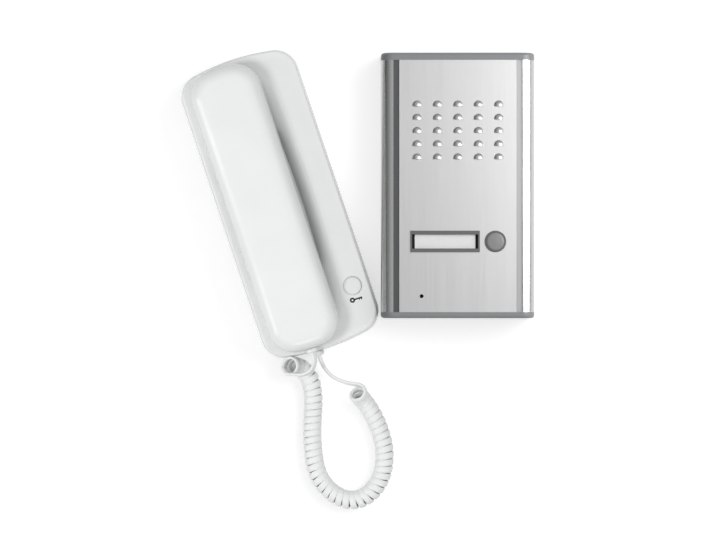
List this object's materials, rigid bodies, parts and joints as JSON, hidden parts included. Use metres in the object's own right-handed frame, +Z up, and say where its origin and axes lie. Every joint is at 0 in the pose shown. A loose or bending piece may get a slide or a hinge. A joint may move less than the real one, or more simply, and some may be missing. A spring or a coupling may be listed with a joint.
{
  "type": "door intercom set",
  "caption": "Wired door intercom set: a white handset station with a curly cord and a door-release button, and an aluminium door station with a louvred speaker panel and call button.",
  "frame": {"origin": "centre of the set's footprint, on the surface that both stations lie on, measured without the cord", "axes": "+Z up out of the surface, +X from the indoor station towards the door station, +Y from the foot of the door station towards its top"},
  "size_m": [0.2542, 0.332, 0.054],
  "materials": {
    "white_shell": "gloss",
    "white_button": "gloss",
    "white_cord": "satin",
    "black_plastic": "satin",
    "grey_rubber": "matt",
    "circuit_board": "satin",
    "steel": "satin",
    "brushed_plate": "brushed",
    "rail_aluminium": "satin",
    "dark_stripe": "satin",
    "grey_cap": "satin",
    "grey_trim": "satin",
    "grey_button": "satin",
    "white_card": "matt",
    "clear_window": "clear",
    "lamp": "clear",
    "dark_housing": "matt"
  },
  "bodies": {
    "base": {"base_grommet": "white_cord", "call_bezel": "grey_trim", "call_sounder": "black_plastic", "call_switch": "black_plastic", "cap_screw_1": "steel", "cap_screw_2": "steel", "cap_screw_3": "steel", "cap_screw_4": "steel", "card_lamp": "lamp", "cord_base_tail": "white_cord", "cord_coil": "white_cord", "cord_handset_tail": "white_cord", "cover_screw_1": "steel", "cover_screw_2": "steel", "cover_screw_3": "steel", "cover_screw_4": "steel", "door_board": "circuit_board", "door_mic": "steel", "door_mic_boot": "grey_rubber", "door_plate": "brushed_plate", "door_terminal": "black_plastic", "end_cap_bottom": "grey_cap", "end_cap_top": "grey_cap", "front_cover": "white_shell", "hook_lever_pin": "steel", "hook_switch": "black_plastic", "loudspeaker": "steel", "name_backing": "black_plastic", "name_card": "white_card", "name_frame": "grey_trim", "name_window": "clear_window", "rear_cover": "white_shell", "rear_housing": "dark_housing", "release_switch": "black_plastic", "side_rail_left": "rail_aluminium", "side_rail_right": "rail_aluminium", "side_stripe_left": "dark_stripe", "side_stripe_right": "dark_stripe", "speaker_gasket": "grey_rubber", "station_board": "circuit_board", "terminal_block": "black_plastic"},
    "handset": {"ballast_weight": "steel", "handset_board": "circuit_board", "handset_front_shell": "white_shell", "handset_grommet": "white_cord", "handset_mic": "steel", "handset_mic_boot": "grey_rubber", "handset_rear_shell": "white_shell", "handset_screw_1": "steel", "handset_screw_2": "steel", "receiver_capsule": "black_plastic", "receiver_gasket": "grey_rubber"},
    "hook_lever": {"hook_lever": "black_plastic"},
    "release_button": {"release_button": "white_button", "release_plunger": "black_plastic"},
    "call_button": {"call_button": "grey_button", "call_plunger": "black_plastic"}
  },
  "joints": [
    {"name": "handset_lift", "type": "slide", "parent": "base", "child": "handset", "axis": [0, 0, 1], "range_m": [0, 0.08]},
    {"name": "hook_lever_rise", "type": "hinge", "parent": "base", "child": "hook_lever", "pos_m": [-0.0656, -0.00539, 0.007], "axis": [0.9483, 0.3173, 0], "range_deg": [0, 7.5]},
    {"name": "release_press", "type": "slide", "parent": "base", "child": "release_button", "axis": [0, 0, -1], "range_m": [0, 0.0015], "stiffness_N_per_m": 400, "springref_m": -0.002},
    {"name": "call_press", "type": "slide", "parent": "base", "child": "call_button", "axis": [0, 0, -1], "range_m": [0, 0.0015], "stiffness_N_per_m": 400, "springref_m": -0.002}
  ],
  "couplings": [
    {"joint": "hook_lever_rise", "follows": "handset_lift", "rad_per_m": 1.63}
  ]
}
